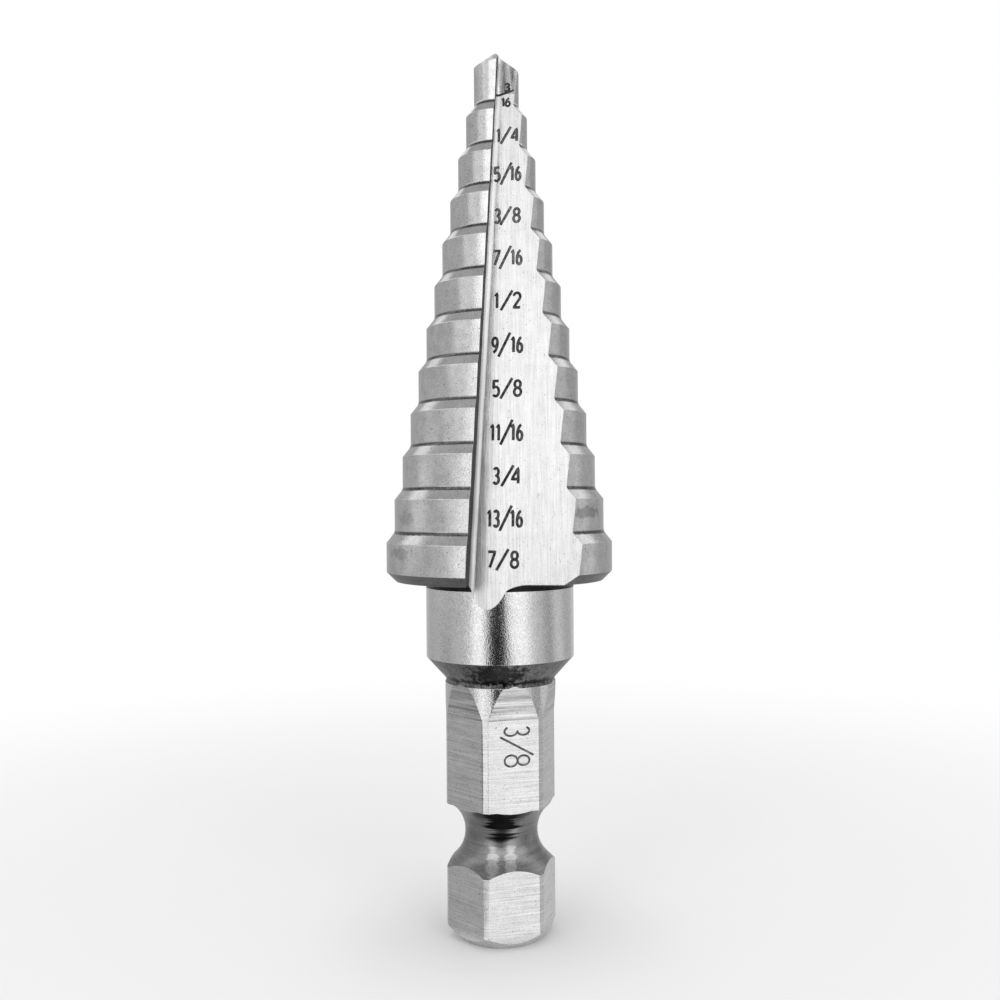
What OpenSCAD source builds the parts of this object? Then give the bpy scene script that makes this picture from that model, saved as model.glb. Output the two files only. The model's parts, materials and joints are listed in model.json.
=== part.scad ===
// Step drill with two straight flutes and a hexagonal quick-change shank.
// The tool stands on the end of its shank, with its axis on Z and its point up.
// One flute faces the front, along -Y, and the drill cuts turning to the right.

/* [Stepped cone] */
// Diameter that the smallest step cuts
first_step_d = 4.7625; // [4:0.0125:6]
// Gain in diameter from one step to the next
step_gain = 1.5875; // [1.2:0.0125:2]
// Number of steps
step_count = 12; // [8:1:13]
// Distance along the axis from one step to the next
step_pitch = 4.1; // [3:0.1:6]
// Length along the axis of the short cone that leads into a step
lead_in_h = 1; // [0.7:0.05:1.4]
// Radius of the hollow where a step runs into the cone below it
step_fillet_r = 0.8; // [0.4:0.05:1.2]
// Length of the largest step, down to its underside
rim_h = 3.7; // [2.5:0.1:6]
// Bevel round the underside of the largest step
rim_bevel = 0.9; // [0.4:0.1:1.4]
// Offset of the centre that each land is turned on, which backs it off behind its edge
land_relief = 0.22; // [0.05:0.01:0.3]

/* [Point] */
// Length from the upper edge of the second step to the tip
nose_h = 6.55; // [4.5:0.05:9]
// Angle between the two lips
point_angle = 115; // [100:1:135]
// Angle at which each flank falls away behind its lip
flank_clearance = 8; // [4:1:12]
// Distance that the apex of each flank lies past the centre, which sets the chisel edge
flank_shift = 0.4; // [0.3:0.05:1]
// How much lower the second flank is ground than the first
flank_drop = 0.5; // [0:0.05:0.6]

/* [Flutes] */
// Turn of the rake faces from the front view
rake_turn = 3.9; // [0:0.1:10]
// Distance of each rake face ahead of the centre at the tip, half the thickness of the web
rake_lead = 0.27; // [0.2:0.01:0.6]
// Sideways slant of the flutes, which brings the rake faces behind the centre lower down
flute_slant = 2.9; // [0:0.1:4]
// Angle between the rake face and the floor of a flute
flute_angle = 84.2; // [80:0.1:95]
// Radius at the root of a flute
root_r = 0.45; // [0.2:0.05:0.7]
// Distance from the centre to the root at the tip, along the rake face
root_start = 0.28; // [0:0.02:0.4]
// Angle at which the root climbs out towards the shank
flute_rise = 7.1; // [6.8:0.05:7.6]
// Length from the tip to where the thinning of the web runs out
gash_h = 4.4; // [2:0.1:6]
// Angle at which the thinning of the web climbs out
gash_rise = 12.8; // [10:0.2:18]

/* [Collar] */
// Diameter of the collar under the cone
collar_d = 14.3; // [13:0.1:16]
// Length of the round collar, from its bevel to the cone
collar_h = 7.3; // [5:0.1:12]
// Length along the axis of the bevel that leads down to the shank
collar_bevel_h = 2; // [1:0.1:4]
// Radius of the hollow between the collar and the cone
collar_fillet_r = 0.65; // [0.2:0.05:1.2]

/* [Shank] */
// Length of the shank, from its end face to the bevel of the collar
shank_h = 24.9; // [22:0.1:32]
// Size of the hexagon across its flats
hex_af = 9.525; // [9:0.025:10]
// Diameter of the round blank, which breaks the corners of the hexagon
blank_d = 10.7; // [10.5:0.05:11.5]
// Turn of the front flat from the front view
hex_turn = 14.4; // [0:0.2:30]
// Distance below the collar where the flats begin to run out
runout_h = 3.5; // [2:0.1:5]
// Angle at which the flats run out towards the collar
runout_angle = 9; // [6:0.5:12]
// Width of the turned recess at the foot of the collar
recess_w = 0.45; // [0.2:0.05:0.8]
// Depth of the turned recess
recess_depth = 0.08; // [0.04:0.01:0.2]
// Bevel round the end face
end_bevel = 1.2; // [0.6:0.1:2]

/* [Detent groove] */
// Height of the lower edge of the groove over the end face
groove_z = 6.75; // [5:0.05:9]
// Length of the groove along the axis, at the corners of the hexagon
groove_h = 6.1; // [5.5:0.1:7]
// Diameter at the bottom of the groove
neck_d = 7; // [6:0.1:8]
// Radius of the hollow of the groove
groove_r = 3.4; // [3.2:0.1:4]
// Slope of the lower flank, which lets the balls ride out
groove_flank = 45; // [40:1:50]

/* [Hidden] */
$fn = 96;
// How far a cutting shape reaches past what it cuts
reach = 1;
// How far one shape goes into the next, so that the two become one
lap = 0.5;

blank_r = blank_d / 2;
collar_r = collar_d / 2;
neck_r = neck_d / 2;
collar_z = shank_h + collar_bevel_h;
cone_z = collar_z + collar_h;
rim_r = step_r(step_count - 1);
tip_z = step_z(1) + nose_h;
// Radius that clears the whole tool
clear_r = rim_r + reach;

// Radius that a step cuts, counted from the tip
function step_r(i) = (first_step_d + i * step_gain) / 2;
// Height of the upper edge of a step, counted from the tip
function step_z(i) = cone_z + rim_h + (step_count - 1 - i) * step_pitch;
// Unit vector along the cone that leads into a step, outwards and down
lead_in = [step_gain / 2, -lead_in_h] / norm([step_gain / 2, lead_in_h]);
// Length from a corner to where its fillet begins
function tangent_length(radius, angle) = radius / tan(angle / 2);

// Fillet in a hollow corner of a turned outline, between its upright side and its cone
module step_fillet(corner) {
    length = tangent_length(step_fillet_r, acos(lead_in[1]));
    difference() {
        polygon([corner, corner + length * lead_in, corner + [0, length]]);
        translate(corner + [step_fillet_r, length])
            circle(r = step_fillet_r);
    }
}

// Half outline of the stepped cone, as it is turned on the offset centre of a land
module cone_outline() {
    polygon([
        [0, cone_z],
        [rim_r - land_relief - rim_bevel, cone_z],
        [rim_r - land_relief, cone_z + rim_bevel],
        for (i = [step_count - 1:-1:1]) each [
            [step_r(i) - land_relief, step_z(i)],
            [step_r(i - 1) - land_relief, step_z(i) + lead_in_h]
        ],
        [step_r(0) - land_relief, tip_z + reach],
        [0, tip_z + reach]
    ]);
    for (i = [1:step_count - 1])
        step_fillet([step_r(i - 1) - land_relief, step_z(i) + lead_in_h]);
}

// Half of the stepped cone that carries the land behind the front rake face
module land_half() {
    // Turn of the plane between the halves, through the middle of both flutes
    split_turn = 20;
    intersection() {
        translate([0, -land_relief, 0])
            rotate_extrude()
                cone_outline();
        rotate([0, 0, split_turn])
            translate([-2 * clear_r, -2 * clear_r, cone_z])
                cube([2 * clear_r + lap, 4 * clear_r, tip_z + reach - cone_z]);
    }
}

// Cone whose side is the flank behind the front lip
module flank(drop) {
    slope = 90 - point_angle / 2;
    h = 2 * (tip_z - cone_z);
    translate([0, flank_shift, tip_z + flank_shift * tan(slope) - drop])
        rotate([0, -flank_clearance, 0])
            translate([0, 0, -h])
                cylinder(r1 = h / tan(slope), r2 = 0, h = h);
}

// Straight V-shaped cut with a rake face, a round root and a floor that climbs out
module flute(start, rise) {
    length = tangent_length(root_r, flute_angle);
    floor_way = [sin(flute_angle), -cos(flute_angle)];
    translate([rake_lead, -start, tip_z])
        rotate([-rise, flute_slant, 0])
            translate([0, 0, -tip_z])
                linear_extrude(height = tip_z + clear_r) {
                    polygon([
                        [0, -length],
                        [0, -2 * clear_r],
                        [2 * clear_r, -2 * clear_r],
                        2 * clear_r * floor_way,
                        length * floor_way
                    ]);
                    translate([root_r, -length])
                        circle(r = root_r);
                }
}

// Both flutes of one side, the long one and the gash that thins the web at the point
module flute_and_gash() {
    flute(root_start, flute_rise);
    flute(root_start + gash_h * (tan(flute_rise) - tan(gash_rise)), gash_rise);
}

// What stands twice, half a turn apart
module twice() {
    children();
    rotate([0, 0, 180])
        children();
}

// One land with half of the core, cut by both flutes
module land(own_drop, other_drop) {
    difference() {
        intersection() {
            land_half();
            flank(own_drop);
            rotate([0, 0, 180])
                flank(other_drop);
        }
        twice() flute_and_gash();
    }
}

// Half outline of the shank and collar as they are turned
module shank_outline() {
    flank_start_r = neck_r + groove_r * (1 - sin(groove_flank));
    flank_z = groove_z + (blank_r - flank_start_r) / tan(groove_flank);
    bottom_z = flank_z + groove_r * cos(groove_flank);
    difference() {
        polygon([
            [0, 0],
            [blank_r - end_bevel, 0],
            [blank_r, end_bevel],
            [blank_r, shank_h - recess_w],
            [blank_r - recess_depth, shank_h - recess_w],
            [blank_r - recess_depth, shank_h],
            [blank_r, shank_h],
            [collar_r, collar_z],
            [collar_r, cone_z - collar_fillet_r],
            [collar_r + collar_fillet_r, cone_z - collar_fillet_r],
            [collar_r + collar_fillet_r, cone_z + lap],
            [0, cone_z + lap]
        ]);
        translate([collar_r + collar_fillet_r, cone_z - collar_fillet_r])
            circle(r = collar_fillet_r);
        intersection() {
            translate([neck_r + groove_r, bottom_z])
                circle(r = groove_r);
            translate([0, flank_z])
                square([neck_r + groove_r, groove_z + groove_h - flank_z]);
        }
        polygon([
            [flank_start_r, flank_z],
            [flank_start_r + reach * 2, flank_z],
            [flank_start_r + reach * 2, flank_z - reach * 2 / tan(groove_flank)]
        ]);
    }
}

// Cut of one flat of the hexagon, with its run-out towards the collar
module flat_cut() {
    start_z = shank_h - runout_h;
    rotate([90, 0, 0])
        linear_extrude(height = blank_d, center = true)
            polygon([
                [hex_af / 2, -reach],
                [blank_d, -reach],
                [blank_d, shank_h],
                [hex_af / 2 + runout_h * tan(runout_angle), shank_h],
                [hex_af / 2, start_z]
            ]);
}

// The whole tool, ground from one bar
module step_drill() {
    color("silver")
        difference() {
            union() {
                rotate([0, 0, -rake_turn]) {
                    land(0, flank_drop);
                    rotate([0, 0, 180])
                        land(flank_drop, 0);
                }
                difference() {
                    rotate_extrude()
                        shank_outline();
                    rotate([0, 0, -rake_turn])
                        twice() flute_and_gash();
                }
            }
            for (side = [0:5])
                rotate([0, 0, hex_turn - 90 + side * 60])
                    flat_cut();
        }
}

step_drill();
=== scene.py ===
"""Looks of a step drill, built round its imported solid.

The drill is one bar of high-speed steel, turned, fluted and ground. Its body is a merged copy
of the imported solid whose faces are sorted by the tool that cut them, and each kind of cut has
its own finish. The sizes of the steps are etched on the floor of the front flute.
All sizes named in millimetres are turned to metres by MM.
"""

import json
import logging
import math
from collections.abc import Iterable
from dataclasses import dataclass, replace
from enum import Enum
from typing import Any

import bpy
from mathutils import Matrix, Vector

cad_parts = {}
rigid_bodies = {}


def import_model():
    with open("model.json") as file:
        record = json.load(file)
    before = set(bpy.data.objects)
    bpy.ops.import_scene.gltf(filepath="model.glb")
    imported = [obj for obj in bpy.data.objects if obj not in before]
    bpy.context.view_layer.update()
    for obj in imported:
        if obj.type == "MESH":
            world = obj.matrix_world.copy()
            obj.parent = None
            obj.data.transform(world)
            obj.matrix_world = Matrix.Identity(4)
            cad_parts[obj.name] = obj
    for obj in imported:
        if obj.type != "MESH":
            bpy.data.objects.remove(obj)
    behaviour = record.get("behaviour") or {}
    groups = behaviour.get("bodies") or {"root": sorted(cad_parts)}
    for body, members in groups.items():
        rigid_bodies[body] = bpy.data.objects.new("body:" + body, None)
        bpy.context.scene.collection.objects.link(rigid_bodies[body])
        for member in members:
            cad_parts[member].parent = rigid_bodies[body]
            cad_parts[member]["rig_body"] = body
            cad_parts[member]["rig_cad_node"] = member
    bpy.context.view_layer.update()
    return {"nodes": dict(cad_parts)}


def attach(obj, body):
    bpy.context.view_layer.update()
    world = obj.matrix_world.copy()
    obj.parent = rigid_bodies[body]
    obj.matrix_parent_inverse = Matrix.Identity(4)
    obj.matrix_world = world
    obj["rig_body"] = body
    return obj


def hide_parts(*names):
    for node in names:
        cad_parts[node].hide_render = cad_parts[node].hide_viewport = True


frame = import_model()

MM = 0.001
NODE = "step_drill"
BODY = "root"

LOG = logging.getLogger("step_drill")

Pair = tuple[float, float]
Triple = tuple[float, float, float]
Object = bpy.types.Object
Face = bpy.types.MeshPolygon
Tree = bpy.types.NodeTree
# What can be linked to an input, where a node stands for its first output
Source = bpy.types.NodeSocket | bpy.types.Node


def srgb(code: str) -> tuple[float, float, float, float]:
    """Turn an sRGB hex colour to linear.

    Args:
        code: The colour as six hex digits, with or without a leading mark.

    Returns:
        Linear red, green and blue, and an alpha of 1.
    """
    digits = code.lstrip("#")
    parts = [int(digits[i:i + 2], 16) / 255 for i in (0, 2, 4)]
    linear = [c / 12.92 if c <= 0.04045 else ((c + 0.055) / 1.055) ** 2.4 for c in parts]
    return (*linear, 1.0)


def add(tree: Tree, kind: str, links: dict[Any, Any] | None = None,
        **settings: Any) -> bpy.types.Node:
    """Add a node with its settings, values and links.

    Args:
        tree: The node tree.
        kind: The node's type without its first words, such as "Math".
        links: For each input, by name or number, what to link to it or the value to set. A node
            is linked by its first output.
        **settings: Attributes of the node.

    Returns:
        The new node.
    """
    node = tree.nodes.new("ShaderNode" + kind)
    for name, value in settings.items():
        setattr(node, name, value)
    for key, value in (links or {}).items():
        if isinstance(value, bpy.types.Node):
            value = value.outputs[0]
        if isinstance(value, bpy.types.NodeSocket):
            tree.links.new(value, node.inputs[key])
        else:
            node.inputs[key].default_value = value
    return node


def new_material(name: str) -> tuple[bpy.types.Material, Tree]:
    """Make an empty node material.

    Args:
        name: The material's name.

    Returns:
        The material and its node tree, with no nodes in it.
    """
    material = bpy.data.materials.new(name)
    material.use_nodes = True
    material.node_tree.nodes.clear()
    return material, material.node_tree


def activate(obj: Object) -> None:
    """Select one object alone and make it the active one.

    Args:
        obj: The object.
    """
    for other in bpy.context.view_layer.objects:
        other.select_set(other == obj)
    bpy.context.view_layer.objects.active = obj


def active() -> Object:
    """Give the active object, such as the one that an operator has just made."""
    return bpy.context.view_layer.objects.active


# Finishes, whose scratches and grain are drawn coarser than real ones so that they show


class Lay(Enum):
    """Way in which the marks of a grinding or turning tool run."""

    ALONG = "along a flute"
    ACROSS_RAKE = "along a rake face"
    ROUND = "round the axis"
    NONE = "in no direction"


@dataclass(frozen=True)
class StainAndLightPatch:
    """A patch with a ragged border, which multiplies the tone of the metal by its own.

    Some are stains, others painted shade or painted highlights. Its middle and its half sizes are
    in millimetres.
    """

    middle: Triple
    size: Triple
    tone: float

    # How far the noise moves the border, and between which half sizes the patch fades
    RAGGED = 0.7
    FADE = {"From Min": 0.95, "From Max": 1.35}

    def tone_node(self, tree: Tree, place: Source, ragged: Source) -> Source:
        """Give the tone of the metal under the patch.

        Args:
            tree: The node tree.
            place: The object coordinates.
            ragged: A noise about one half that breaks up the border.

        Returns:
            The patch's tone inside it and 1 outside.
        """
        off = add(tree, "VectorMath", {
            0: place, 1: [v * MM for v in self.middle]}, operation="SUBTRACT")
        scaled = add(tree, "VectorMath", {
            0: off, 1: [1 / (v * MM) for v in self.size]}, operation="MULTIPLY")
        away = add(tree, "VectorMath", {0: scaled}, operation="LENGTH").outputs["Value"]
        broken = add(tree, "Math", {0: ragged, 1: self.RAGGED, 2: away}, operation="MULTIPLY_ADD")
        return add(tree, "MapRange", {"Value": broken, **self.FADE, "To Min": self.tone},
                   interpolation_type="SMOOTHSTEP")


@dataclass(frozen=True)
class CutSteel:
    """Bare high-speed steel as one kind of tool leaves it.

    Scratches cover it, and over them lies a fine grain. The tone of each is how far it lightens and
    darkens the metal, and so is that of the wide, soft blotches.

    Attributes:
        lay: Way in which the scratches run.
        scratch_mm: Width of a scratch.
        grain_mm: Width of the grain.
        pits: How readily the grain breaks out in small dark pits, from 0 to 1.
        edge_mm: Radius to which its edges are worn.
        edge_highlight: How far a painted highlight lightens the edges.
        hollow_shade: How far painted shade in the hollows under the steps darkens the metal.
        upper_roughness: Roughness towards the tip, where the wheel cut finer.
        edge_tint: Tint of the reflection on a face seen on edge.
        stains_and_painted_light: Patches that are darker or lighter than the rest, stains as well
            as painted shade and painted highlights.
    """

    name: str
    colour: str
    roughness: float = 0.3
    lay: Lay = Lay.ROUND
    scratch_mm: float = 0.13
    scratch_length_mm: float = 4.0
    scratch_tone: float = 0.12
    scratch_depth_mm: float = 0.006
    grain_mm: float = 0.14
    grain_tone: float = 0.12
    grain_depth_mm: float = 0.004
    pits: float = 0.0
    blotch_tone: float = 0.05
    edge_mm: float = 0.07
    edge_highlight: float = 0.0
    hollow_shade: float = 0.0
    upper_roughness: float | None = None
    edge_tint: float = 1.0
    stains_and_painted_light: tuple[StainAndLightPatch, ...] = ()

    # Limits of a raw noise that are stretched to 0 and 1
    NOISE_RANGE = {"From Min": 0.3, "From Max": 0.7}
    # Widths of a blotch and of a pit, in widths of the grain
    BLOTCH_WIDTH = 9
    PIT_WIDTH = 1.3
    # Level at which the noise breaks out in pits, its fall with their number, their rim and tone
    PIT_LEVEL = 0.78
    PIT_GAIN = 0.2
    PIT_RIM = (-0.05, 0.03)
    PIT_TONE = 0.4
    # Upward parts of the normal between which the painted shade in the hollows comes in, from
    # either side, and its unevenness
    HOLLOW_SHADE_LIMITS = ((0.10, 0.26), (0.60, 0.50))
    HOLLOW_SHADE_SWING = 0.3
    # Cosine between the rounded and the true normal at which the painted edge highlight begins and
    # is full
    EDGE_HIGHLIGHT_RANGE = {"From Min": 0.985, "From Max": 0.94}
    WEAR_SAMPLES = 4
    ROUGHNESS_SWING = 0.04
    # Heights between which the roughness changes to that of the tip
    UPPER_MM = (50, 76)

    def frequencies(self) -> Triple:
        """Give the frequency of the scratches by their lay.

        Returns:
            The frequency along X, Y and Z, in cycles per metre.
        """
        fine = 1 / (self.scratch_mm * MM)
        long = 1 / (self.scratch_length_mm * MM)
        return {
            Lay.ALONG: (fine, long, long),
            Lay.ACROSS_RAKE: (long, fine, long),
            Lay.ROUND: (long, long, fine),
            Lay.NONE: (fine, fine, fine),
        }[self.lay]

    def material(self) -> bpy.types.Material:
        """Make the material.

        Returns:
            A metal whose colour, roughness and height follow scratches, grain and pits.
        """
        material, tree = new_material(self.name)
        place = add(tree, "TexCoord").outputs["Object"]
        stretched = add(tree, "Mapping", {"Vector": place, "Scale": self.frequencies()})
        scratch = self.noise(tree, stretched, 1.0)
        grain = self.noise(tree, place, 1 / (self.grain_mm * MM))
        blotch = self.noise(tree, place, 1 / (self.BLOTCH_WIDTH * self.grain_mm * MM))

        tone = self.swing(tree, scratch, 1.0, self.scratch_tone)
        tone = self.swing(tree, grain, tone, self.grain_tone)
        tone = self.swing(tree, blotch, tone, self.blotch_tone)
        worn = add(tree, "Bevel", {"Radius": self.edge_mm * MM}, samples=self.WEAR_SAMPLES)
        for share in self.marks(tree, place, grain, scratch, worn):
            tone = add(tree, "Math", {0: tone, 1: share}, operation="MULTIPLY")
        colour = add(tree, "VectorMath", {0: srgb(self.colour)[:3], "Scale": tone},
                     operation="SCALE")
        rough = self.swing(tree, grain, self.height_roughness(tree, place), self.ROUGHNESS_SWING)

        normal = worn
        for height, depth in ((scratch, self.scratch_depth_mm), (grain, self.grain_depth_mm)):
            normal = add(tree, "Bump", {
                "Height": height, "Distance": depth * MM, "Strength": 1.0, "Normal": normal})
        shader = add(tree, "BsdfPrincipled", {
            "Base Color": colour, "Metallic": 1.0, "Roughness": rough, "Normal": normal,
            "Specular Tint": (self.edge_tint, self.edge_tint, self.edge_tint, 1),
        })
        add(tree, "OutputMaterial", {"Surface": shader})
        return material

    def marks(self, tree: Tree, place: Source, grain: Source, scratch: Source,
              worn: Source) -> Iterable[Source]:
        """Give what pits, painted shade in the hollows, painted edge highlights, stains, and
        patches of painted shade and painted highlight do to the tone.

        Args:
            tree: The node tree.
            place: The object coordinates.
            grain: The fine grain.
            scratch: The scratches.
            worn: The normal, rounded at the edges.

        Returns:
            For each kind that the finish has, what it multiplies the tone by.
        """
        if self.pits:
            spot = add(tree, "TexNoise", {
                "Vector": place, "Scale": 1 / (self.PIT_WIDTH * self.grain_mm * MM), "Detail": 1.5})
            level = self.PIT_LEVEL - self.PIT_GAIN * self.pits
            yield add(tree, "MapRange", {
                "Value": spot, "From Min": level + self.PIT_RIM[0],
                "From Max": level + self.PIT_RIM[1], "To Min": 1.0, "To Max": self.PIT_TONE,
            })
        # Painted shade in the hollows under the steps, where the normal leans upwards
        if self.hollow_shade:
            normal = add(tree, "TexCoord").outputs["Normal"]
            rise = add(tree, "SeparateXYZ", {0: normal}).outputs[2]
            dark = 1.0
            for none, full in self.HOLLOW_SHADE_LIMITS:
                share = add(tree, "MapRange", {"Value": rise, "From Min": none, "From Max": full})
                dark = add(tree, "Math", {0: dark, 1: share}, operation="MULTIPLY")
            patchy = self.swing(tree, grain, self.hollow_shade, self.HOLLOW_SHADE_SWING)
            dark = add(tree, "Math", {0: dark, 1: patchy}, operation="MULTIPLY")
            yield add(tree, "Math", {0: 1.0, 1: dark}, operation="SUBTRACT")
        # Painted highlight along the edges, where the rounded normal leaves the true one
        if self.edge_highlight:
            true = add(tree, "NewGeometry").outputs["True Normal"]
            same = add(tree, "VectorMath", {0: worn, 1: true},
                       operation="DOT_PRODUCT").outputs["Value"]
            yield add(tree, "MapRange", {
                "Value": same, **self.EDGE_HIGHLIGHT_RANGE, "To Min": 1.0, "To Max": 1 + self.edge_highlight})
        # Stains, and patches of painted shade and painted highlight
        for tone_patch in self.stains_and_painted_light:
            yield tone_patch.tone_node(tree, place, scratch)

    def height_roughness(self, tree: Tree, place: Source) -> Any:
        """Give the roughness, which falls from the middle steps to the tip if a finish says so.

        Args:
            tree: The node tree.
            place: The object coordinates.

        Returns:
            One value, or a node that gives the roughness by height.
        """
        if self.upper_roughness is None:
            return self.roughness
        height = add(tree, "SeparateXYZ", {0: place}).outputs[2]
        return add(tree, "MapRange", {
            "Value": height, "From Min": self.UPPER_MM[0] * MM, "From Max": self.UPPER_MM[1] * MM,
            "To Min": self.roughness, "To Max": self.upper_roughness,
        })

    def noise(self, tree: Tree, place: Source, scale: float) -> Source:
        """Add a noise that fills the range from 0 to 1.

        Args:
            tree: The node tree.
            place: Coordinates it runs over.
            scale: Its frequency.

        Returns:
            The noise.
        """
        raw = add(tree, "TexNoise", {
            "Vector": place, "Scale": scale, "Detail": 3.0, "Roughness": 0.6})
        return add(tree, "MapRange", {"Value": raw, **self.NOISE_RANGE})

    @staticmethod
    def swing(tree: Tree, noise: Source, centre: Any, width: float) -> Source:
        """Let a value swing about its centre with a noise.

        Args:
            tree: The node tree.
            noise: A noise about one half.
            centre: The value, or a node that gives it.
            width: How far it swings where the noise is 0 or 1.

        Returns:
            The swinging value.
        """
        return add(tree, "Math", {
            0: add(tree, "Math", {0: noise, 1: 0.5}, operation="SUBTRACT"),
            1: 2 * width, 2: centre,
        }, operation="MULTIPLY_ADD")


# A pale floor with fine streaks, duller in a band beside the root near the collar
FLUTE_FLOOR = CutSteel(
    "hss_ground_floor", "#CACACA", roughness=0.24, lay=Lay.ALONG, scratch_depth_mm=0.004,
    grain_mm=0.12, grain_tone=0.05, grain_depth_mm=0.002, pits=0.3,
    stains_and_painted_light=(StainAndLightPatch((-1.6, -5.0, 37.0), (0.6, 30.0, 12.0), 0.84),))
# The round root of the same cut, without pits, duller than the floor, with a painted highlight that
# makes it paler towards the tip
FLUTE_ROOT = replace(
    FLUTE_FLOOR, name="hss_ground_root", roughness=0.40, pits=0.0,
    stains_and_painted_light=(StainAndLightPatch((0.0, -2.5, 69.0), (6.0, 8.0, 17.0), 1.25),))
# The thinned web and the flanks of the point, in coarse streaks that part light from dark
FLUTE_GASH = CutSteel(
    "hss_ground_gash", "#CCCCCC", roughness=0.24, lay=Lay.ALONG, scratch_mm=0.45, scratch_tone=0.6,
    scratch_depth_mm=0.009, grain_mm=0.12, grain_depth_mm=0.005, pits=0.4)
# The rake faces, plain ground steel from the side and a dark line when seen on edge
RAKE_FACE = CutSteel(
    "hss_ground_rake", "#B4B4B4", roughness=0.34, lay=Lay.ACROSS_RAKE, scratch_mm=0.2,
    scratch_tone=0.2, scratch_depth_mm=0.005, grain_mm=0.15, grain_tone=0.2, edge_tint=0.0)
# Turned and backed-off lands, finely grained, with painted shade in the hollows under the steps and
# painted highlights on their edges, smoother at the tip
LAND = CutSteel(
    "hss_ground_land", "#CDCDCD", roughness=0.15, lay=Lay.NONE, scratch_mm=0.9,
    scratch_length_mm=0.9, scratch_tone=0.04, scratch_depth_mm=0.0, grain_mm=0.12, grain_tone=0.17,
    pits=0.42, blotch_tone=0.10, edge_mm=0.10, edge_highlight=0.3, hollow_shade=0.8, upper_roughness=0.06,
    edge_tint=0.8,
    stains_and_painted_light=(StainAndLightPatch((8.2, -6.5, 40.7), (1.6, 4.0, 0.7), 0.62),
            StainAndLightPatch((-9.2, -6.0, 37.1), (1.3, 4.0, 0.7), 0.72),
            StainAndLightPatch((-8.6, -6.0, 40.3), (0.9, 3.0, 0.9), 0.8),
            StainAndLightPatch((8.0, -5.0, 33.6), (3.0, 5.0, 0.7), 0.6)))
# A collar that sparkles, as if blasted before it was polished
COLLAR = CutSteel(
    "hss_turned_collar", "#D6D6D6", roughness=0.08, lay=Lay.NONE, scratch_mm=0.4,
    scratch_length_mm=0.4, scratch_tone=0.03, scratch_depth_mm=0.003, grain_tone=0.22,
    grain_depth_mm=0.007, pits=0.2)
# Flats ground across in plain lines, with painted highlights on their edges and a dark line down
# the corner in front
FLAT = CutSteel(
    "hss_ground_hexagon", "#D2D2D2", roughness=0.26, scratch_length_mm=5.0, scratch_tone=0.20,
    pits=0.3, edge_highlight=0.25,
    stains_and_painted_light=(StainAndLightPatch((-1.72, -5.07, 17.0), (0.1, 0.6, 5.0), 0.5),))
# The run-outs of the flats, cut by the wheel's rim in coarse dark lines
RAMP = CutSteel(
    "hss_ground_run_out", "#C0C0C0", scratch_mm=0.24, scratch_length_mm=9.0, scratch_tone=0.45,
    scratch_depth_mm=0.012, pits=0.3)
# The bevel under the largest step, dull, with its colour darkened as painted shade and painted
# highlights on its edges
UNDERCUT = CutSteel(
    "hss_shaded_bevel", "#747474", roughness=0.36, scratch_mm=0.3, scratch_length_mm=9.0,
    scratch_tone=0.25, grain_mm=0.18, grain_tone=0.25, grain_depth_mm=0.008, pits=0.5,
    edge_highlight=0.5)
# Painted shadow in the corner over the collar, nearly black
CORNER_SHADOW = CutSteel(
    "hss_painted_corner_shadow", "#242424", scratch_mm=0.2, scratch_length_mm=5.0, scratch_tone=0.3,
    scratch_depth_mm=0.004, grain_mm=0.2, grain_tone=0.5, grain_depth_mm=0.006)
# The bevel under the collar, darkened by a little oil and mostly by painted shade: dull at the
# sides, and painted nearly black in front and at its foot
OILED_SHADED_BEVEL = CutSteel(
    "hss_oiled_shaded_bevel", "#6C6C6C", lay=Lay.NONE, scratch_mm=0.5, scratch_length_mm=0.5,
    scratch_tone=0.35, scratch_depth_mm=0.005, grain_mm=0.22, grain_tone=0.5, grain_depth_mm=0.014,
    blotch_tone=0.3,
    stains_and_painted_light=(StainAndLightPatch((-0.2, -6.0, 25.9), (2.9, 2.6, 1.6), 0.2),
            StainAndLightPatch((0.0, 0.0, 25.0), (9.0, 9.0, 0.4), 0.2)))
# The detent groove, darkened partly by oil and partly by painted shade, dull at the sides, with
# painted shade that makes it black above and two painted highlights below
OILED_SHADED_GROOVE = CutSteel(
    "hss_oiled_shaded_groove", "#868686", roughness=0.27, scratch_mm=0.3, scratch_length_mm=12.0,
    scratch_tone=0.16, grain_mm=0.16, grain_tone=0.15, grain_depth_mm=0.006,
    stains_and_painted_light=(StainAndLightPatch((0.0, -3.8, 11.7), (2.0, 1.8, 2.3), 0.03),
            StainAndLightPatch((-0.85, -4.0, 7.7), (0.75, 2.0, 2.1), 1.9),
            StainAndLightPatch((0.85, -4.0, 8.1), (0.7, 2.0, 2.0), 1.9)))


# The drill itself


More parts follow.
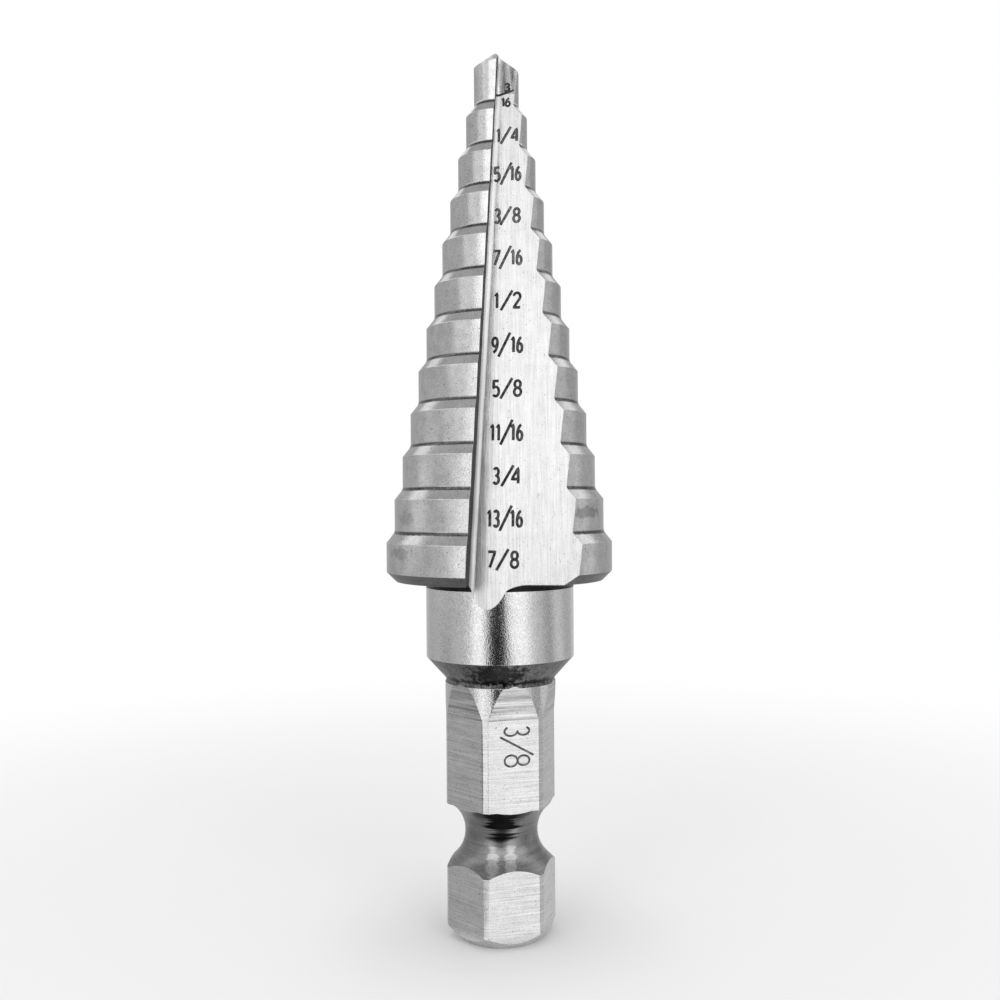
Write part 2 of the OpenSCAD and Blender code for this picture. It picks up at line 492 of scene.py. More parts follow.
@dataclass(frozen=True)
class Flute:
    """One straight V-shaped cut of the wheel, the same on both sides.

    Its sizes are the solid's own: the start and climb of the root, the lead, slant and turn of the
    rake face, the height of the tip, and the angle and radius between rake face and floor.
    """

    start_mm: float
    rise_deg: float
    floor: CutSteel
    root: CutSteel
    lead_mm: float = 0.27
    slant_deg: float = 2.9
    turn_deg: float = 3.9
    tip_mm: float = 85.45
    angle_deg: float = 84.2
    root_mm: float = 0.45

    # Distance within which a face lies in a surface of the cut, and how well its normal agrees
    NEAR_MM = 0.02
    ALIGNED = 0.999
    LEVEL = 0.03

    def section(self, face: Face, half_turn: int) -> tuple[Vector, Vector]:
        """Place a face in the section of the flute.

        Args:
            face: A face of the drill.
            half_turn: 0 for the front flute and 1 for the far one.

        Returns:
            The face's centre and its normal, with X and Y across the flute and Z along it.
        """
        turn = Matrix.Rotation(math.radians(self.turn_deg + 180 * half_turn), 3, "Z")
        lean = (Matrix.Rotation(math.radians(self.slant_deg), 3, "Y")
                @ Matrix.Rotation(math.radians(-self.rise_deg), 3, "X")).transposed()
        start = Vector((self.lead_mm, -self.start_mm, self.tip_mm))
        return lean @ (turn @ (face.center / MM) - start), lean @ (turn @ face.normal)

    def finish(self, face: Face) -> CutSteel | None:
        """Name the finish of a face.

        Args:
            face: A face of the drill.

        Returns:
            The finish, or nothing if this flute hasn't cut the face.
        """
        angle = math.radians(self.angle_deg)
        across = Vector((math.cos(angle), math.sin(angle), 0))
        length = self.root_mm / math.tan(angle / 2)
        for half_turn in (0, 1):
            place, normal = self.section(face, half_turn)
            for way, finish in ((Vector((1, 0, 0)), RAKE_FACE), (across, self.floor)):
                if abs(place.dot(way)) < self.NEAR_MM and abs(normal.dot(way)) > self.ALIGNED:
                    return finish
            depth = math.hypot(place.x - self.root_mm, place.y + length)
            if abs(depth - self.root_mm) < self.NEAR_MM and abs(normal.z) < self.LEVEL:
                return self.root
        return None


@dataclass
class Drill:
    """The tool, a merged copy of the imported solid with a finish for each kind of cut."""

    # Heights over the end face at which one kind of cut gives way to the next
    flank_foot_mm: float = 83.0
    bevel_top_mm: float = 35.1
    fillet_top_mm: float = 34.2
    fillet_foot_mm: float = 33.55
    collar_foot_mm: float = 26.9
    recess_top_mm: float = 24.9
    recess_foot_mm: float = 24.45
    run_out_foot_mm: float = 21.4
    groove_top_mm: float = 12.87
    groove_foot_mm: float = 6.7
    # Distance of the flats and of the round blank from the axis, and the slope of the run-outs
    flat_mm: float = 4.7625
    blank_mm: float = 5.35
    run_out_deg: float = 9.0
    # Angle between faces above which an edge stays sharp
    smooth_deg: float = 24.0

    # Distance within which corners are one, a face lies in a flat, in the blank or at a height
    MERGE_MM = 0.0005
    FLAT_NEAR_MM = 0.02
    BLANK_NEAR_MM = 0.03
    HEIGHT_NEAR_MM = 0.01
    # Least upward part of the normal of a flank and of a land, and how well others agree
    FLANK_NORMAL = 0.4
    LAND_NORMAL = -0.1
    NORMAL_NEAR = 0.01
    # How much more a large face counts than a small one in the shading
    AREA_WEIGHT = 100

    FINISHES = (LAND, FLUTE_FLOOR, FLUTE_ROOT, FLUTE_GASH, RAKE_FACE, COLLAR, FLAT, RAMP, UNDERCUT,
                CORNER_SHADOW, OILED_SHADED_BEVEL, OILED_SHADED_GROOVE)
    # The long flute, and the gash that thins the web at the point
    FLUTES = (Flute(start_mm=0.28, rise_deg=7.1, floor=FLUTE_FLOOR, root=FLUTE_ROOT),
              Flute(start_mm=-0.1717, rise_deg=12.8, floor=FLUTE_GASH, root=FLUTE_GASH))

    def build(self) -> Object:
        """Copy the solid, dress it and smooth it.

        Returns:
            The piece that stands for the solid.
        """
        body = self.copy_solid()
        self.sort_faces(body)
        self.part_finishes(body)
        self.smooth(body)
        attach(body, BODY)
        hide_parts(NODE)
        return body

    def copy_solid(self) -> Object:
        """Copy the node's mesh and merge its loose triangles.

        Returns:
            The copy, at the origin.
        """
        activate(frame["nodes"][NODE])
        bpy.ops.object.duplicate()
        body = active()
        body.name = "drill_body"
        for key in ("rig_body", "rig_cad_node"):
            del body[key]
        bpy.ops.object.parent_clear(type="CLEAR_KEEP_TRANSFORM")
        bpy.ops.object.mode_set(mode="EDIT")
        bpy.ops.mesh.select_all(action="SELECT")
        bpy.ops.mesh.customdata_custom_splitnormals_clear()
        bpy.ops.mesh.remove_doubles(threshold=self.MERGE_MM * MM)
        bpy.ops.object.mode_set(mode="OBJECT")
        return body

    def sort_faces(self, body: Object) -> None:
        """Give each face the finish of the tool that cut it.

        Args:
            body: The copy of the solid.
        """
        mesh = body.data
        mesh.materials.clear()
        for finish in self.FINISHES:
            mesh.materials.append(finish.material())
        for face in mesh.polygons:
            face.material_index = self.FINISHES.index(self.finish(face))

    def finish(self, face: Face) -> CutSteel:
        """Name the finish of a face.

        Args:
            face: A face of the drill.

        Returns:
            The finish.
        """
        z = face.center.z / MM
        if z > self.recess_top_mm:
            for flute in self.FLUTES:
                ground = flute.finish(face)
                if ground:
                    return ground
            return self.turned_finish(face, z)
        return self.shank_finish(face, z)

    def turned_finish(self, face: Face, z: float) -> CutSteel:
        """Name the finish of a face of the cone or the collar that no flute has cut.

        Args:
            face: A face of the drill.
            z: Height of its centre, in millimetres.

        Returns:
            The finish.
        """
        rise = face.normal.z
        if z > self.flank_foot_mm and rise > self.FLANK_NORMAL:
            return FLUTE_GASH
        if z > self.bevel_top_mm or (z > self.fillet_top_mm and rise > self.LAND_NORMAL):
            return LAND
        if z > self.fillet_top_mm - self.HEIGHT_NEAR_MM:
            return UNDERCUT
        # The fillet under the rim gets a painted shadow
        if z > self.fillet_foot_mm:
            return CORNER_SHADOW
        return COLLAR if z > self.collar_foot_mm else OILED_SHADED_BEVEL

    def shank_finish(self, face: Face, z: float) -> CutSteel:
        """Name the finish of a face of the shank.

        Args:
            face: A face of the drill.
            z: Height of its centre, in millimetres.

        Returns:
            The finish.
        """
        level = abs(face.normal.z) < self.NORMAL_NEAR
        run_out = abs(face.normal.z + math.sin(math.radians(self.run_out_deg))) < self.NORMAL_NEAR
        reach = face.center.dot(face.normal) / MM
        if level and abs(reach - self.flat_mm) < self.FLAT_NEAR_MM:
            return FLAT
        if z > self.recess_foot_mm - self.HEIGHT_NEAR_MM and not run_out:
            return OILED_SHADED_BEVEL
        if z > self.groove_top_mm and run_out:
            return RAMP
        if level and reach > self.blank_mm - self.BLANK_NEAR_MM and z > self.run_out_foot_mm:
            return COLLAR
        if self.groove_foot_mm < z < self.groove_top_mm:
            return OILED_SHADED_GROOVE
        return FLAT

    def part_finishes(self, body: Object) -> None:
        """Mark the borders between finishes sharp, so that no shading runs over them.

        Args:
            body: The copy of the solid.
        """
        activate(body)
        bpy.ops.object.mode_set(mode="EDIT")
        for slot in range(len(self.FINISHES)):
            body.active_material_index = slot
            bpy.ops.mesh.select_mode(type="FACE")
            bpy.ops.mesh.select_all(action="DESELECT")
            bpy.ops.object.material_slot_select()
            bpy.ops.mesh.region_to_loop()
            bpy.ops.mesh.mark_sharp()
        bpy.ops.mesh.select_mode(type="FACE")
        bpy.ops.object.mode_set(mode="OBJECT")

    def smooth(self, body: Object) -> None:
        """Smooth the round faces and keep the flat ones flat.

        Args:
            body: The copy of the solid.
        """
        activate(body)
        bpy.ops.object.shade_smooth_by_angle(
            angle=math.radians(self.smooth_deg), keep_sharp_edges=True)
        weighted = body.modifiers.new("weighted", "WEIGHTED_NORMAL")
        weighted.keep_sharp = True
        weighted.weight = self.AREA_WEIGHT
        bpy.ops.object.modifier_apply(modifier=weighted.name)


# The etched sizes

# The points of one stroke, in heights of its sign
Stroke = list[Pair]


def arc(centre: Pair, radii: Pair, start: float, end: float, steps: int = 12) -> Stroke:
    """Give the points of an elliptic arc.

    Args:
        centre: The ellipse's centre.
        radii: Its half width and half height.
        start: Angle at which the arc starts, in degrees.
        end: Angle at which it ends.
        steps: Number of straight pieces.

    Returns:
        The points.
    """
    angles = [math.radians(start + (end - start) * i / steps) for i in range(steps + 1)]
    return [(centre[0] + radii[0] * math.cos(a), centre[1] + radii[1] * math.sin(a))
            for a in angles]


@dataclass(frozen=True)
class EtchedSteel:
    """Steel that a marking tool has darkened, with paler patches where the mark is worn."""

    name: str
    dark: str
    light: str
    roughness: float = 0.5
    metallic: float = 0.7
    patch_mm: float = 0.3

    # Levels of the noise at which wear begins and is full
    WORN = {"From Min": 0.42, "From Max": 0.66}

    def material(self) -> bpy.types.Material:
        """Make the material.

        Returns:
            A dull metal that runs from the dark to the light colour in small patches.
        """
        material, tree = new_material(self.name)
        place = add(tree, "TexCoord").outputs["Object"]
        wear = add(tree, "TexNoise", {
            "Vector": place, "Scale": 1 / (self.patch_mm * MM), "Detail": 3.0})
        share = add(tree, "MapRange", {"Value": wear, **self.WORN})
        colour = add(tree, "Mix", {
            0: share, 6: srgb(self.dark), 7: srgb(self.light)}, data_type="RGBA").outputs[2]
        shader = add(tree, "BsdfPrincipled", {
            "Base Color": colour, "Metallic": self.metallic, "Roughness": self.roughness})
        add(tree, "OutputMaterial", {"Surface": shader})
        return material


# Nearly black strokes of the lower sizes
FULL_MARK = EtchedSteel("hss_etched_mark", "#262626", "#585858")
# Greyer strokes towards the tip and on the shank
WORN_MARK = EtchedSteel("hss_worn_mark", "#4A4A4A", "#7C7C7C")


@dataclass(frozen=True)
class Sign:
    """A digit or slash and the cell it fills, in millimetres from the middle of its label."""

    text: str
    left: float
    middle: float
    width: float
    height: float


@dataclass(frozen=True)
class Label:
    """A fraction on the drill, with its sizes in millimetres.

    Attributes:
        text: The fraction.
        x: Place of the middle of the slash across the drill.
        z: Its height over the end face.
        height: Height of a digit.
        top_end: Distance from the slash back to the end of the first number.
        bottom_start: Distance from the slash to the start of the second number.
        ink: Finish of the strokes.
    """

    text: str
    x: float
    z: float
    height: float
    top_end: float
    bottom_start: float
    ink: EtchedSteel = FULL_MARK

    # Widths of the digits, of any in a number of two, of the slash and of the gaps, in heights
    WIDTHS = {"1": 0.13, "2": 0.43, "3": 0.35, "4": 0.5, "5": 0.37, "7": 0.44, "8": 0.44, "9": 0.34}
    NARROW = 0.31
    SLASH = 0.76
    GAP = 0.25
    # How far the slash reaches past the digits below and above, and beside two digits
    PAST = (0.17, 0.17)
    PAST_TWO = (0.28, 0.33)

    def signs(self) -> list[Sign]:
        """Set the signs out round the middle of the slash.

        Returns:
            The signs.
        """
        top, bottom = self.text.split("/")
        below, above = self.PAST if len(top) + len(bottom) == 2 else self.PAST_TWO
        h = self.height
        signs = [Sign("/", -self.SLASH / 2 * h, (above - below) / 2 * h, self.SLASH * h,
                      (1 + above + below) * h)]
        width = sum(self.width(top, sign) for sign in top) + self.GAP * (len(top) - 1)
        for text, left in ((top, -self.top_end / h - width), (bottom, self.bottom_start / h)):
            for sign in text:
                wide = self.width(text, sign)
                signs.append(Sign(sign, left * h, 0, wide * h, h))
                left += wide + self.GAP
        return signs

    def width(self, text: str, sign: str) -> float:
        """Give the width of a sign in heights, less in a number of two digits."""
        return self.WIDTHS[sign] if len(text) == 1 or sign == "1" else self.NARROW


@dataclass
class Marks:
    """Sizes in fractions of an inch, etched as thin films in strokes of one width."""

    stroke_mm: float = 0.27
    # Width of the strokes of the smallest size, as a share of the others
    stacked_share: float = 0.8
    shank_stroke_mm: float = 0.2
    film_mm: float = 0.02

    # Place in front of the drill, in metres
    FRONT = -1.0
    # Number of pieces that each length of an open stroke is cut in
    PIECES = 8
    # Largest distance between the ends of a closed stroke
    CLOSED = 1e-6

    LABELS = (
        Label("7/8", 0.26, 36.48, 1.45, 0.68, 0.80),
        Label("13/16", 0.58, 40.21, 1.45, 0.65, 0.50),
        Label("3/4", 0.78, 44.14, 1.45, 0.81, 0.42),
        Label("11/16", 0.72, 48.15, 1.45, 0.72, 0.46),
        Label("5/8", 0.74, 52.29, 1.45, 0.70, 0.74),
        Label("9/16", 0.58, 56.40, 1.42, 0.64, 0.70),
        Label("1/2", 0.83, 60.66, 1.42, 0.90, 0.68),
        Label("7/16", 0.74, 64.80, 1.38, 0.54, 0.58, WORN_MARK),
        Label("3/8", 0.82, 68.90, 1.34, 0.58, 0.74, WORN_MARK),
        Label("5/16", 0.88, 73.03, 1.34, 0.62, 0.44, WORN_MARK),
        Label("1/4", 0.88, 76.88, 1.25, 0.66, 0.56, WORN_MARK))
    ON_SHANK = Label("3/8", 1.5, 19.0, 2.4, 0.98, 0.82, WORN_MARK)

    def build(self, body: Object) -> Iterable[Object]:
        """Write the size of every step in the front flute, and one on the shank.

        Args:
            body: The drill.

        Returns:
            The marks, one after the other.
        """
        for label in self.LABELS:
            yield self.draw("mark_" + label.text.replace("/", "_"), label.signs(), self.stroke_mm,
                            body, self.face_matrix(body, label.x, label.z), label.ink)
        yield from self.stacked(body)
        label = self.ON_SHANK
        turned = Matrix.Rotation(-math.pi / 2, 4, "Z")
        yield self.draw("mark_shank", label.signs(), self.shank_stroke_mm, body,
                        self.face_matrix(body, label.x, label.z) @ turned, label.ink)

    def stacked(self, body: Object) -> Iterable[Object]:
        """Write the smallest size, one number over the other, where the flute is narrow.

        Args:
            body: The drill.

        Returns:
            The upper number, the lower number and the bar between them.
        """
        three = [Sign("3", -0.24, 0, 0.44, 0.8)]
        sixteen = [Sign("1", -0.44, 0, 0.14, 0.8), Sign("6", -0.08, 0, 0.4, 0.8)]
        bar = [Sign("/", -0.78, 0, 1.75, 0.56), Sign("/", -0.78, -0.15, 0.8, 0.26)]
        for name, signs, x, z in (("mark_3", three, 1.06, 81.72), ("mark_16", sixteen, 0.98, 80.2),
                                  ("mark_bar", bar, 0.78, 81.12)):
            yield self.draw(name, signs, self.stroke_mm * self.stacked_share, body,
                            self.face_matrix(body, x, z), FULL_MARK)

    def lay(self, piece: Object, body: Object, place: Matrix) -> None:
        """Lay a label on the drill so that it follows the surface as seen from the front.

        Args:
            piece: The label as drawn, flat round the origin.
            body: The drill.
            place: Matrix of its place on the drill.
        """
        out = place.to_3x3().col[2]
        for vertex in piece.data.vertices:
            over = place @ Vector((vertex.co.x, vertex.co.y, 0))
            hit, at, _, _ = self.front(body, over.x, over.z)
            vertex.co = (at if hit else over) + out * vertex.co.z * self.film_mm

    def draw(self, name: str, signs: list[Sign], stroke: float, body: Object, place: Matrix,
             ink: EtchedSteel) -> Object:
        """Draw a label on the drill.

        Args:
            name: Name of the piece.
            signs: Its signs.
            stroke: Width of a stroke, in millimetres.
            body: The drill.
            place: Matrix that lays the X and Y of the label on the face, centred on it.
            ink: Its finish.

        Returns:
            The piece.
        """
        parts = [self.stroke(points, sign, stroke)
                 for sign in signs for points in self.strokes(sign.text, sign.width / sign.height)]
        activate(parts[0])
        for part in parts:
            part.select_set(True)
        if len(parts) > 1:
            bpy.ops.object.join()
        piece = active()
        piece.name = name
        self.lay(piece, body, place)
        known = bpy.data.materials.get(ink.name)
        piece.data.materials.append(known or ink.material())
        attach(piece, BODY)
        return piece

    def strokes(self, sign: str, w: float) -> list[Stroke]:
        """Give the strokes of a sign in a cell of height 1.

        Args:
            sign: A digit or a slash.
            w: Width of the cell.

        Returns:
            The strokes, each a list of points.
        """
        half = w / 2
        six = [arc((half, 0.29), (half, 0.29), 0, 360, 18), arc((w, 0.29), (w, 0.71), 180, 100, 8)]
        signs: dict[str, list[Stroke]] = {
            "1": [[(0.0, 0.8), (w, 1.0), (w, 0.0)]],
            "2": [arc((half, 0.74), (half, 0.26), 170, -35) + [(0.0, 0.0), (w, 0.0)]],
            "3": [arc((half, 0.76), (half * 0.9, 0.24), 150, -90)
                  + arc((half, 0.26), (half, 0.26), 90, -150)],
            "4": [[(0.8 * w, 0.0), (0.8 * w, 1.0), (0.0, 0.28), (w, 0.28)]],
            "5": [[(0.95 * w, 1.0), (0.1 * w, 1.0), (0.05 * w, 0.55)]
                  + arc((half * 0.9, 0.31), (half * 1.1, 0.31), 115, -140)],
            "6": six,
            "7": [[(0.0, 1.0), (w, 1.0), (0.25 * w, 0.0)]],
            "8": [arc((half, 0.76), (0.86 * half, 0.24), 0, 360, 16),
                  arc((half, 0.26), (half, 0.26), 0, 360, 16)],
            "9": [[(w - x, 1 - y) for x, y in stroke] for stroke in six],
            "/": [[(0.0, 0.0), (w, 1.0)]],
        }
        return signs[sign]

    def stroke(self, points: Stroke, sign: Sign, width: float) -> Object:
        """Draw one stroke as a film with round sides, one metre thick until it is laid.

        Args:
            points: Its points, in heights of its sign.
            sign: The sign it belongs to.
            width: Its width, in millimetres.

        Returns:
            The stroke as a mesh round the origin.
        """
        curve = bpy.data.curves.new("stroke", "CURVE")
        curve.dimensions = "3D"
        curve.bevel_depth = width * MM / 2
        curve.bevel_resolution = 1
        curve.use_fill_caps = True
        closed = (Vector(points[0]) - Vector(points[-1])).length < self.CLOSED
        used = points[:-1] if closed else self.closer(points)
        spline = curve.splines.new("POLY")
        spline.points.add(len(used) - 1)
        for point, (x, y) in zip(spline.points, used):
            point.co = ((sign.left + x * sign.height) * MM,
                        (sign.middle + (y - 0.5) * sign.height) * MM, 0, 1)
        spline.use_cyclic_u = closed
        obj = bpy.data.objects.new("stroke", curve)
        bpy.context.scene.collection.objects.link(obj)
        activate(obj)
        bpy.ops.object.convert(target="MESH")
        obj.data.transform(Matrix.Diagonal((1, 1, 1 / width, 1)))
        return obj

    def closer(self, points: Stroke) -> Stroke:
        """Set more points along a stroke, so that it can follow the surface under it.

        Args:
            points: Its points.

        Returns:
            The points, with others evenly spaced between each two of them.
        """
        n = self.PIECES
        between = [(a[0] + (b[0] - a[0]) * i / n, a[1] + (b[1] - a[1]) * i / n)
                   for a, b in zip(points, points[1:]) for i in range(n)]
        return between + [points[-1]]

    def front(self, body: Object, x: float, z: float) -> tuple[bool, Vector, Vector, int]:
        """Give the hit, place, normal and face that a look from the front meets at x and z."""
        return body.ray_cast(Vector((x, self.FRONT, z)), Vector((0, 1, 0)))

    def face_matrix(self, body: Object, x: float, z: float) -> Matrix:
        """Find the place on the front of the drill at x and z.

        Args:
            body: The drill.
            x: Place across the drill, in millimetres.
            z: Height over the end face, in millimetres.

        Returns:
            Matrix whose Z points out of the face and whose Y points up along it.
        """
        _, place, _, index = self.front(body, x * MM, z * MM)
        out = body.data.polygons[index].normal
        up = (Vector((0, 0, 1)) - out * out.z).normalized()
        right = up.cross(out)
        turn = Matrix((right, up, out)).transposed().to_4x4()
        return Matrix.Translation(place) @ turn


# The studio


@dataclass
class Studio:
    """Camera, pale floor, white backdrop, soft lamps, and a tent of cloth that steel reflects."""

    camera_distance_mm: float = 105.0
    camera_height_mm: float = 41.92
    camera_side_mm: float = 0.08
    view_width_mm: float = 97.28
    camera_roll_deg: float = 0.40
    # The floor lies just under the end face, and fades to white between two distances
    floor_radius_mm: float = 400.0
    floor_drop_mm: float = 0.02
    fade_mm: Pair = (30.0, 160.0)
    sky_level: float = 0.75
    lamp_distance_mm: float = 250.0
    lamp_height_mm: float = 250.0
    # The tent is a ball with a flat bottom, and a well in it where the shank stands
    tent_radius_mm: float = 500.0
    tent_height_mm: float = 42.0
    bottom_mm: float = 0.5
    well_mm: float = 7.0
    well_floor_mm: float = -50.0
    # Distance from the axis within which a corner of the ball is its pole or of its last ring
    pole_mm: float = 1.0
    ring_mm: float = 40.0
    # Height up to which the cloth counts as the sheet, and radius of the panels at the foot
    sheet_mm: float = 2.0
    foot_mm: float = 30.0
    # Elevations at which the bands of the walls begin, in degrees, and their levels
    high_deg: float = 4.0
    bright_deg: float = 28.0
    bright_level: float = 1.2
    roof_deg: float = 41.0
    roof_level: float = 0.52

    SENSOR_MM = 36.0
    # Nearest and farthest distance that the camera shows, in metres
    CLIP = (0.001, 10.0)
    # Panels of the cloth: the azimuth in degrees where each begins, and its level
    RIGHT = ((43, 0.85), (52, 0.66), (70, 0.42), (88, 0.72), (110, 0.52))
    FOOT = ((-180, 0.6), (-120, 0.47), (-26, 1.15), (50, 0.66))
    SHEET = (
        (-180, 0.6), (-150, 0.50), (-125, 0.53), (-104, 0.44), (-80, 0.62), (-46, 1.30),
        (-21, 0.03), (12, 1.28), *RIGHT, (143, 0.65))
    LOW_WALLS = (
        (-180, 0.6), (-150, 0.55), (-111, 0.82), (-83, 0.55), (-58, 0.95), (-43, 1.3),
        (-20, 0.06), (10, 1.28), *RIGHT, (143, 0.6))
    HIGH_WALLS = (
        (-180, 0.6), (-150, 0.56), (-74, 0.92), (-38, 1.6), (-8, 1.4), (76, 0.5), (90, 0.66),
        (112, 0.5), (150, 0.6))

    def build(self) -> None:
        """Set up the camera, the floor, the world, the lamps and the tent."""
        self.camera()
        self.floor()
        self.world()
        self.lamps()
        self.tent()

    def camera(self) -> None:
        """Stand the camera where the photograph was taken."""
        bpy.ops.object.camera_add(location=(
            self.camera_side_mm * MM, -self.camera_distance_mm * MM, self.camera_height_mm * MM),
            rotation=(math.pi / 2, 0, 0))
        camera = active()
        camera.name = "camera"
        camera.rotation_euler.rotate_axis("Z", math.radians(-self.camera_roll_deg))
        lens = camera.data
        lens.sensor_width = self.SENSOR_MM
        lens.lens = lens.sensor_width * self.camera_distance_mm / self.view_width_mm
        lens.clip_start = self.CLIP[0]
        lens.clip_end = self.CLIP[1]
        bpy.context.scene.camera = camera

    def floor(self) -> None:
        """Lay a pale disc that fades into the white of the backdrop."""
        bpy.ops.mesh.primitive_circle_add(
            vertices=96, radius=self.floor_radius_mm * MM, fill_type="NGON",
            location=(0, 0, -self.floor_drop_mm * MM))
        disc = active()
        disc.name = "floor"
        material, tree = new_material("white_paper")
        place = add(tree, "TexCoord").outputs["Object"]
        away = add(tree, "VectorMath", {0: place}, operation="LENGTH").outputs["Value"]
        fade = add(tree, "MapRange", {
            "Value": away, "From Min": self.fade_mm[0] * MM, "From Max": self.fade_mm[1] * MM,
        }, interpolation_type="SMOOTHSTEP")
        share = add(tree, "Math", {0: fade, 1: self.seen(tree)}, operation="MULTIPLY")
        paper = add(tree, "BsdfDiffuse", {"Color": srgb("#F4F4F4")})
        white = add(tree, "Emission", {"Strength": 1.0})
        mix = add(tree, "MixShader", {0: share, 1: paper, 2: white})
        add(tree, "OutputMaterial", {"Surface": mix})
        disc.data.materials.append(material)

    @staticmethod
    def seen(tree: Tree) -> Source:
        """Tell the rays that show the background from those that only light the drill.

        Args:
            tree: The node tree.

        Returns:
            1 on camera, glossy and transmission rays, and 0 on others.
        """
        path = add(tree, "LightPath").outputs
        first = add(tree, "Math", {0: path["Is Camera Ray"], 1: path["Is Glossy Ray"]},
                    operation="MAXIMUM")
        return add(tree, "Math", {0: first, 1: path["Is Transmission Ray"]}, operation="MAXIMUM")

    def world(self) -> None:
        """Make the backdrop white and the light from all round soft."""
        world = bpy.data.worlds.new("studio")
        bpy.context.scene.world = world
        world.use_nodes = True
        tree = world.node_tree
        tree.nodes.clear()
        strength = add(tree, "MapRange", {
            "Value": self.seen(tree), "To Min": self.sky_level, "To Max": 1.0})
        back = add(tree, "Background", {"Color": (1, 1, 1, 1), "Strength": strength})
        add(tree, "OutputWorld", {"Surface": back})

    def lamps(self) -> None:
        """Hang two soft boxes beside the camera and one over the drill."""
        self.soft_box("soft_box_left", azimuth=-32, angle=24, level=1.25)
        self.soft_box("soft_box_right", azimuth=29.5, angle=36, level=1.2)
        self.lamp("top_light", place=(0, 0, 0.4), width=0.15, watts=0.25)

    def soft_box(self, name: str, azimuth: float, angle: float, level: float) -> None:
        """Hang one soft box beside the camera.

        Args:
            name: Its name.
            azimuth: Its place to the right of the camera, in degrees.
            angle: Its width as seen from the drill, in degrees.
            level: How bright it is.
        """
        distance = self.lamp_distance_mm * MM
        height = self.lamp_height_mm * MM
        turn = math.radians(azimuth)
        width = 2 * distance * math.tan(math.radians(angle / 2))
        lamp = self.lamp(name, (distance * math.sin(turn), -distance * math.cos(turn), height / 2),
                         width, level * math.pi * width * height)
        lamp.rotation_euler = (math.pi / 2, 0, turn)
        lamp.data.shape = "RECTANGLE"
        lamp.data.size_y = height

    def lamp(self, name: str, place: Triple, width: float, watts: float) -> Object:
        """Hang a soft lamp that neither the camera nor a reflection shows.

        Args:
            name: Its name.
            place: Its place, in metres.
            width: Its width, in metres.
            watts: Its power.

        Returns:
            The lamp, facing down.
        """
        bpy.ops.object.light_add(type="AREA", location=place)
        lamp = active()
        lamp.name = name
        lamp.data.size = width
        lamp.data.energy = watts
        lamp.visible_glossy = False
        lamp.visible_camera = False
        return lamp

    def tent(self) -> None:
        """Stand a tent of white and grey cloth round the drill, which its reflections show."""
        bpy.ops.mesh.primitive_uv_sphere_add(
            segments=96, ring_count=48, radius=self.tent_radius_mm * MM,
            location=(0, 0, self.tent_height_mm * MM))
        tent = active()
        tent.name = "light_tent"
        bpy.ops.object.transform_apply()
        for vertex in tent.data.vertices:
            if vertex.co.z < self.bottom_mm * MM:
                away = math.hypot(vertex.co.x, vertex.co.y) / MM
                vertex.co.z = self.bottom_mm * MM
                if away < self.pole_mm:
                    vertex.co.z = self.well_floor_mm * MM
                elif away < self.ring_mm:
                    vertex.co.x *= self.well_mm / away
                    vertex.co.y *= self.well_mm / away
        tent.visible_camera = False
        tent.visible_diffuse = False
        tent.visible_shadow = False
        tent.data.materials.append(self.cloth())

    def cloth(self) -> bpy.types.Material:
        """Make the tent's cloth, lit in panels by azimuth and in bands by elevation.

        Returns:
            A glowing material.
        """
        material, tree = new_material("tent_cloth")
        place = add(tree, "TexCoord").outputs["Object"]
        axes = add(tree, "SeparateXYZ", {0: place}).outputs
        minus_y = add(tree, "Math", {0: axes[1], 1: -1.0}, operation="MULTIPLY")
        angle = add(tree, "Math", {0: axes[0], 1: minus_y}, operation="ARCTAN2")
        turn = add(tree, "MapRange", {"Value": angle, "From Min": -math.pi, "From Max": math.pi})
        flat = add(tree, "VectorMath", {0: place, 1: (1, 1, 0)}, operation="MULTIPLY")
        away = add(tree, "VectorMath", {0: flat}, operation="LENGTH").outputs["Value"]
        rise = add(tree, "Math", {0: axes[2], 1: self.camera_height_mm * MM}, operation="SUBTRACT")
        slope = add(tree, "Math", {0: rise, 1: away}, operation="ARCTAN2")

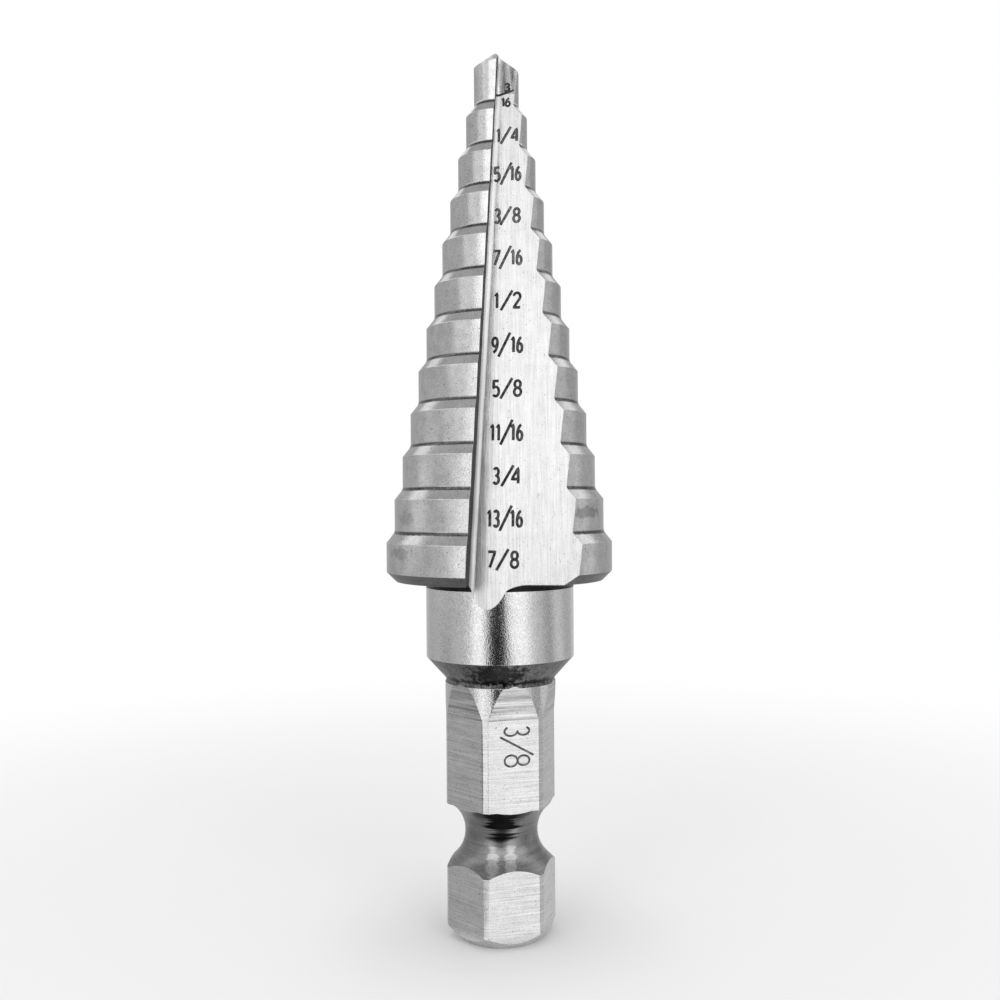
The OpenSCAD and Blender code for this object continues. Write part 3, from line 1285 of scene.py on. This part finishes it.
        foot = add(tree, "Math", {0: away, 1: self.foot_mm * MM}, operation="LESS_THAN")
        sheet = add(tree, "Mix", {
            0: foot, 2: self.ramp(tree, turn, self.SHEET), 3: self.ramp(tree, turn, self.FOOT),
        }, data_type="FLOAT")
        below = add(tree, "Math", {0: axes[2], 1: self.sheet_mm * MM}, operation="LESS_THAN")
        level = add(tree, "Mix", {
            0: below, 2: self.ramp(tree, turn, self.LOW_WALLS), 3: sheet,
        }, data_type="FLOAT")
        high = self.ramp(tree, turn, self.HIGH_WALLS)
        bright = add(tree, "Math", {0: high, 1: self.bright_level}, operation="MAXIMUM")
        for start, band in ((self.high_deg, high), (self.bright_deg, bright),
                            (self.roof_deg, self.roof_level)):
            above = add(tree, "Math", {0: slope, 1: math.radians(start)}, operation="GREATER_THAN")
            level = add(tree, "Mix", {0: above, 2: level, 3: band}, data_type="FLOAT")
        glow = add(tree, "Emission", {"Strength": level})
        add(tree, "OutputMaterial", {"Surface": glow})
        return material

    @staticmethod
    def ramp(tree: Tree, turn: Source, panels: tuple[Pair, ...]) -> Source:
        """Give the level of the cloth by azimuth.

        Args:
            tree: The node tree.
            turn: Azimuth as 0 to 1, from half a turn left of the camera to half a turn right.
            panels: For each panel, the azimuth where it starts and its level.

        Returns:
            The level.
        """
        node = add(tree, "ValToRGB", {"Fac": turn})
        ramp = node.color_ramp
        ramp.interpolation = "CONSTANT"
        while len(ramp.elements) > 1:
            ramp.elements.remove(ramp.elements[-1])
        for i, (azimuth, level) in enumerate(panels):
            element = ramp.elements[0] if i == 0 else ramp.elements.new((azimuth + 180) / 360)
            element.position = (azimuth + 180) / 360
            element.color = (level, level, level, 1)
        return node


def main() -> None:
    """Build the studio and the drill, and report each piece."""
    logging.basicConfig(level=logging.INFO, format="%(message)s")
    bpy.context.scene.view_settings.view_transform = "Standard"
    Studio().build()
    body = Drill().build()
    for piece in (body, *Marks().build(body)):
        LOG.info("%s: %d faces", piece.name, len(piece.data.polygons))


if __name__ == "__main__":
    main()
